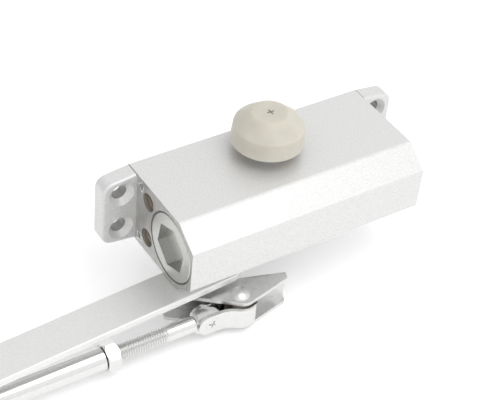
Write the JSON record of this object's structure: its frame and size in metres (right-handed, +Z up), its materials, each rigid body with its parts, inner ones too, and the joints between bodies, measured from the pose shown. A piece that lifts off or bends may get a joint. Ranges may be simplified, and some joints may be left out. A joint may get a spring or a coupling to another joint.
{
  "type": "overhead door closer",
  "caption": "Overhead door closer: extruded body with screw lugs, rack and pinion inside, capped spindle, and a folded arm set with threaded rod, knuckle and shoe bracket.",
  "frame": {"origin": "centre of the four-screw pattern on the back face, which lies on the door", "axes": "+X along the body to the right seen from the front, +Y into the door, +Z up along the pinion"},
  "size_m": [0.3295, 0.0669, 0.0863],
  "materials": {
    "silver_paint": "satin silver with a fine grain",
    "plug_metal": "turned, satin",
    "zinc_plate": "bright plated",
    "valve_brass": "turned, oiled",
    "gear_steel": "machined",
    "bush_bronze": "sintered",
    "seal_rubber": "matte",
    "spring_steel": "oiled wire",
    "cap_plastic": "cream, slightly translucent"
  },
  "bodies": {
    "closer": {"closer_body": "silver_paint", "left_end_plug": "plug_metal", "right_end_plug": "plug_metal", "plug_seals": "seal_rubber", "gallery_plugs": "gear_steel", "upper_pinion_bush": "bush_bronze", "lower_pinion_bush": "bush_bronze", "upper_bearing_collar": "gear_steel", "lower_bearing_collar": "gear_steel", "upper_shaft_seal": "seal_rubber", "lower_shaft_seal": "seal_rubber", "main_spring": "spring_steel"},
    "pinion": {"pinion_shaft": "gear_steel"},
    "cap": {"spindle_cap": "cap_plastic"},
    "piston": {"piston": "gear_steel", "check_ball": "gear_steel", "check_ring": "gear_steel"},
    "closing_valve": {"closing_valve": "valve_brass", "closing_valve_seal": "seal_rubber"},
    "latching_valve": {"latching_valve": "valve_brass", "latching_valve_seal": "seal_rubber"},
    "main_arm": {"main_arm": "silver_paint", "elbow_rivet": "zinc_plate", "elbow_washer": "zinc_plate"},
    "sleeve": {"forearm_sleeve": "zinc_plate", "elbow_bush": "bush_bronze"},
    "lock_nut": {"lock_nut": "zinc_plate"},
    "rod": {"threaded_rod": "zinc_plate"},
    "knuckle": {"knuckle_strap": "zinc_plate", "knuckle_screw": "zinc_plate", "knuckle_bush": "bush_bronze"},
    "shoe": {"shoe": "zinc_plate", "shoe_rivet": "zinc_plate", "shoe_washers": "zinc_plate"}
  },
  "joints": [
    {"name": "pinion_turn", "type": "hinge", "parent": "closer", "child": "pinion", "pos_m": [-0.0015, -0.0195, 0], "axis": [0, 0, 1], "range_deg": [0, 180], "stiffness_Nm_per_rad": 6, "springref_deg": -85.94},
    {"name": "piston_slide", "type": "slide", "parent": "closer", "child": "piston", "axis": [1, 0, 0], "range_m": [0, 0.02366], "deforming": ["main_spring"]},
    {"name": "cap_pull", "type": "slide", "parent": "pinion", "child": "cap", "axis": [0, 0, 1], "range_m": [0, 0.016]},
    {"name": "closing_valve_turn", "type": "hinge", "parent": "closer", "child": "closing_valve", "pos_m": [-0.065, -0.019, 0.011], "axis": [1, 0, 0], "range_deg": [-180, 180]},
    {"name": "latching_valve_turn", "type": "hinge", "parent": "closer", "child": "latching_valve", "pos_m": [-0.065, -0.019, -0.011], "axis": [1, 0, 0], "range_deg": [-180, 180]},
    {"name": "arm_set_slide", "type": "slide", "parent": "closer", "child": "main_arm", "axis": [-0.998, -0.0638, 0], "range_m": [0, 0.06]},
    {"name": "elbow_pivot", "type": "hinge", "parent": "main_arm", "child": "sleeve", "pos_m": [-0.23689, -0.05527, 0], "axis": [0, 0, 1], "range_deg": [-170, 170]},
    {"name": "lock_nut_turn", "type": "hinge", "parent": "sleeve", "child": "lock_nut", "pos_m": [-0.10831, -0.05713, -0.0354], "axis": [0.9999, -0.0145, 0], "continuous": true},
    {"name": "rod_adjust", "type": "slide", "parent": "sleeve", "child": "rod", "axis": [0.9999, -0.0145, 0], "range_m": [-0.02, 0.025]},
    {"name": "knuckle_tilt", "type": "hinge", "parent": "rod", "child": "knuckle", "pos_m": [-0.05301, -0.05793, -0.0354], "axis": [0.0145, 0.9999, 0], "range_deg": [-4, 8]},
    {"name": "shoe_swivel", "type": "hinge", "parent": "knuckle", "child": "shoe", "pos_m": [-0.03621, -0.05817, -0.0354], "axis": [0, 0, 1], "range_deg": [-150, 6]}
  ],
  "couplings": [
    {"joint": "piston_slide", "follows": "pinion_turn", "m_per_rad": 0.0075}
  ]
}
